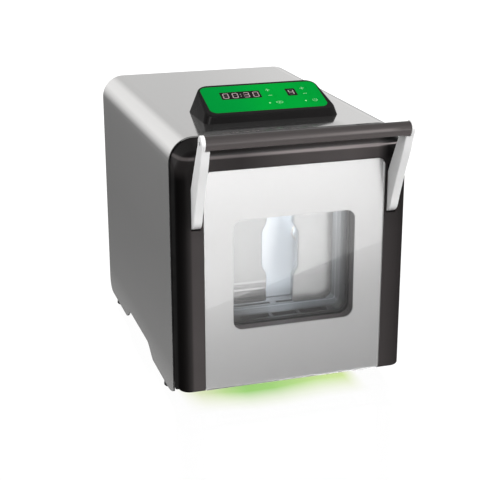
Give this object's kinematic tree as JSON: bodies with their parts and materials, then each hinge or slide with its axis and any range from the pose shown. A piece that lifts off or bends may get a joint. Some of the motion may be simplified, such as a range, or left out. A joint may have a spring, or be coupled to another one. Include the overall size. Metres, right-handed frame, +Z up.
{
  "type": "paddle blender homogenizer",
  "caption": "Bench-top paddle blender: silver hood, windowed drop-down door with a bar handle, opposed pushing paddles in a bag chamber, and a sloping keypad console on top.",
  "frame": {"origin": "middle of the whole object's outline seen from above, on the bench surface that the feet stand on", "axes": "+X to the right seen from the front, +Y from the door to the rear panel, +Z up"},
  "size_m": [0.26, 0.4284, 0.3298],
  "materials": {
    "hood_steel": "satin silver sheet steel",
    "chassis_sheet": "grey zinc-coated sheet",
    "black_plastic": "satin anthracite moulded plastic",
    "chamber_steel": "satin stainless steel",
    "paddle_steel": "bright ground stainless steel",
    "shaft_steel": "ground and polished steel",
    "fastener_steel": "plated steel",
    "magnet_nickel": "nickel-plated magnet",
    "machined_aluminium": "machined",
    "bearing_steel": "polished bearing steel",
    "bushing_bronze": "sintered bronze",
    "black_rubber": "matte black rubber",
    "pale_rubber": "pale grey silicone wiper seals",
    "belt_rubber": "moulded toothed belt",
    "motor_enamel": "dark enamel on a cast housing",
    "circuit_board": "green solder mask",
    "inlet_plastic": "black gloss plastic",
    "green_keypad": "green polyester film, satin gloss",
    "display_window": "dark display window with lit digits",
    "led_lens": "clear lens",
    "light_bar": "frosted green light bar",
    "silver_panel": "silver satin paint",
    "clear_pane": "clear polished pane",
    "grip_plastic": "satin anthracite grip",
    "white_coating": "white-silver powder coat"
  },
  "bodies": {
    "root": {"base_plate": "chassis_sheet", "hood": "hood_steel", "rear_panel": "hood_steel", "front_bezel": "black_plastic", "chamber_collar": "chamber_steel", "chamber_tub": "chamber_steel", "side_plates": "machined_aluminium", "crank_bearings": "bearing_steel", "guide_bushings": "bushing_bronze", "rod_seals": "pale_rubber", "motor": "motor_enamel", "motor_bracket": "chassis_sheet", "timing_belt": "belt_rubber", "control_board": "circuit_board", "power_supply": "machined_aluminium", "power_inlet": "inlet_plastic", "fuse_drawer": "inlet_plastic", "console_housing": "black_plastic", "keypad_overlay": "green_keypad", "time_display": "display_window", "speed_display": "display_window", "indicator_leds": "led_lens", "keypad_pcb": "circuit_board", "feet": "black_rubber", "chassis_screws": "fastener_steel", "underlight_bar": "light_bar", "hinge_blocks": "chassis_sheet", "hinge_pins": "shaft_steel", "catch_magnets": "magnet_nickel", "drip_tray": "chamber_steel"},
    "door": {"door_frame": "black_plastic", "door_plate": "silver_panel", "door_pane": "clear_pane", "door_window": "clear_pane", "door_seal": "black_rubber", "catch_plates": "fastener_steel", "door_screws": "fastener_steel", "handle_pivot_pins": "shaft_steel"},
    "handle": {"handle_bar": "grip_plastic", "handle_arm_left": "white_coating", "handle_arm_right": "white_coating", "handle_screws": "fastener_steel"},
    "paddle_left": {"paddle_left": "paddle_steel", "paddle_rod_left": "shaft_steel", "yoke_left": "machined_aluminium"},
    "paddle_right": {"paddle_right": "paddle_steel", "paddle_rod_right": "shaft_steel", "yoke_right": "machined_aluminium"},
    "crank": {"crankshaft": "shaft_steel", "crank_rollers": "bearing_steel", "driven_pulley": "machined_aluminium"},
    "rotor": {"motor_shaft": "shaft_steel", "motor_pulley": "machined_aluminium"},
    "key_time_plus": {"key_time_plus": "green_keypad"},
    "key_time_minus": {"key_time_minus": "green_keypad"},
    "key_speed_plus": {"key_speed_plus": "green_keypad"},
    "key_speed_minus": {"key_speed_minus": "green_keypad"},
    "key_start": {"key_start": "green_keypad"},
    "key_stop": {"key_stop": "green_keypad"},
    "rocker": {"power_rocker": "inlet_plastic"}
  },
  "joints": [
    {"name": "door_hinge", "type": "hinge", "parent": "root", "child": "door", "pos_m": [0, -0.1474, 0.0225], "axis": [1, 0, 0], "range_deg": [0, 75]},
    {"name": "handle_hinge", "type": "hinge", "parent": "door", "child": "handle", "pos_m": [0, -0.1642, 0.2235], "axis": [1, 0, 0], "range_deg": [0, 15]},
    {"name": "crank_spin", "type": "hinge", "parent": "root", "child": "crank", "pos_m": [0, 0.0086, 0.165], "axis": [1, 0, 0], "continuous": true},
    {"name": "motor_spin", "type": "hinge", "parent": "root", "child": "rotor", "pos_m": [0, 0.1206, 0.092], "axis": [1, 0, 0], "continuous": true},
    {"name": "paddle_left_slide", "type": "slide", "parent": "root", "child": "paddle_left", "axis": [0, -1, 0], "range_m": [0, 0.0125]},
    {"name": "paddle_right_slide", "type": "slide", "parent": "root", "child": "paddle_right", "axis": [0, -1, 0], "range_m": [-0.0125, 0]},
    {"name": "key_time_plus_press", "type": "slide", "parent": "root", "child": "key_time_plus", "axis": [0, 0.3148, -0.9492], "range_m": [0, 0.0004], "stiffness_N_per_m": 400, "springref_m": -0.0002},
    {"name": "key_time_minus_press", "type": "slide", "parent": "root", "child": "key_time_minus", "axis": [0, 0.3148, -0.9492], "range_m": [0, 0.0004], "stiffness_N_per_m": 400, "springref_m": -0.0002},
    {"name": "key_speed_plus_press", "type": "slide", "parent": "root", "child": "key_speed_plus", "axis": [0, 0.3148, -0.9492], "range_m": [0, 0.0004], "stiffness_N_per_m": 400, "springref_m": -0.0002},
    {"name": "key_speed_minus_press", "type": "slide", "parent": "root", "child": "key_speed_minus", "axis": [0, 0.3148, -0.9492], "range_m": [0, 0.0004], "stiffness_N_per_m": 400, "springref_m": -0.0002},
    {"name": "key_start_press", "type": "slide", "parent": "root", "child": "key_start", "axis": [0, 0.3148, -0.9492], "range_m": [0, 0.0004], "stiffness_N_per_m": 400, "springref_m": -0.0002},
    {"name": "key_stop_press", "type": "slide", "parent": "root", "child": "key_stop", "axis": [0, 0.3148, -0.9492], "range_m": [0, 0.0004], "stiffness_N_per_m": 400, "springref_m": -0.0002},
    {"name": "rocker_tilt", "type": "hinge", "parent": "root", "child": "rocker", "pos_m": [-0.082, 0.2092, 0.103], "axis": [1, 0, 0], "range_deg": [-16, 0]}
  ],
  "couplings": [
    {"joint": "motor_spin", "follows": "crank_spin", "ratio": 3},
    {"joint": "paddle_right_slide", "follows": "paddle_left_slide", "ratio": -1}
  ]
}
